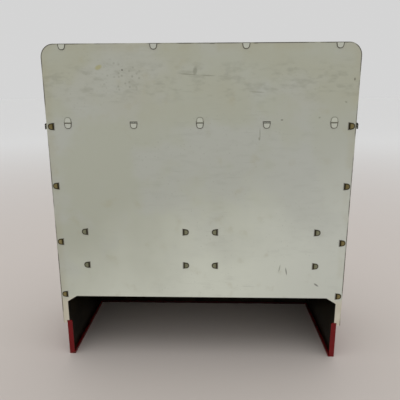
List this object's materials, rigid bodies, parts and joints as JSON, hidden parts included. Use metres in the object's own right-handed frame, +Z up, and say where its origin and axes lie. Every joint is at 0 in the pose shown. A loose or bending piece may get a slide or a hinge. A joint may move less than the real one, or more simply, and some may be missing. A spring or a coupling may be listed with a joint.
{
  "type": "toy kitchen range",
  "caption": "Tinplate toy kitchen range with tabbed flat back, splash panel, burners, turning knobs and two drop-down oven doors on a red kick base.",
  "frame": {"origin": "middle of the box's footprint, on the floor", "axes": "+Z up, the oven doors face -Y, the flat tabbed back panel faces +Y, +X to the right seen from the front"},
  "size_m": [0.304, 0.145, 0.327],
  "materials": {
    "white_enamel": "gloss",
    "red_enamel": "gloss",
    "gold_lacquer": "lacquered",
    "black_enamel": "satin",
    "bright_steel": "plated",
    "red_plastic": "moulded"
  },
  "bodies": {
    "cabinet": {"back_panel": "white_enamel", "left_side_panel": "white_enamel", "right_side_panel": "white_enamel", "front_panel": "white_enamel", "range_top": "white_enamel", "splash_panel": "white_enamel", "front_kick_plate": "red_enamel", "left_kick_plate": "red_enamel", "right_kick_plate": "red_enamel", "left_oven_liner": "gold_lacquer", "right_oven_liner": "gold_lacquer", "left_oven_shelf": "gold_lacquer", "right_oven_shelf": "gold_lacquer", "burner_discs": "black_enamel", "left_hinge_rod": "bright_steel", "right_hinge_rod": "bright_steel"},
    "left_door": {"left_door_skin": "white_enamel", "left_door_handle": "red_enamel", "left_door_back": "gold_lacquer"},
    "right_door": {"right_door_skin": "white_enamel", "right_door_handle": "red_enamel", "right_door_back": "gold_lacquer"},
    "knob_1": {"knob_pin_1": "bright_steel", "knob_cap_1": "red_plastic"},
    "knob_2": {"knob_pin_2": "bright_steel", "knob_cap_2": "red_plastic"},
    "knob_3": {"knob_pin_3": "bright_steel", "knob_cap_3": "red_plastic"},
    "knob_4": {"knob_pin_4": "bright_steel", "knob_cap_4": "red_plastic"},
    "knob_5": {"knob_pin_5": "bright_steel", "knob_cap_5": "red_plastic"}
  },
  "joints": [
    {"name": "left_door_hinge", "type": "hinge", "parent": "cabinet", "child": "left_door", "pos_m": [-0.06725, -0.058, 0.0762], "axis": [1, 0, 0], "range_deg": [0, 90]},
    {"name": "right_door_hinge", "type": "hinge", "parent": "cabinet", "child": "right_door", "pos_m": [0.06725, -0.058, 0.0762], "axis": [1, 0, 0], "range_deg": [0, 90]},
    {"name": "knob_1_turn", "type": "hinge", "parent": "cabinet", "child": "knob_1", "pos_m": [-0.096, -0.054, 0.214], "axis": [0, 1, 0], "continuous": true},
    {"name": "knob_2_turn", "type": "hinge", "parent": "cabinet", "child": "knob_2", "pos_m": [-0.048, -0.054, 0.214], "axis": [0, 1, 0], "continuous": true},
    {"name": "knob_3_turn", "type": "hinge", "parent": "cabinet", "child": "knob_3", "pos_m": [0, -0.054, 0.214], "axis": [0, 1, 0], "continuous": true},
    {"name": "knob_4_turn", "type": "hinge", "parent": "cabinet", "child": "knob_4", "pos_m": [0.048, -0.054, 0.214], "axis": [0, 1, 0], "continuous": true},
    {"name": "knob_5_turn", "type": "hinge", "parent": "cabinet", "child": "knob_5", "pos_m": [0.096, -0.054, 0.214], "axis": [0, 1, 0], "continuous": true}
  ]
}
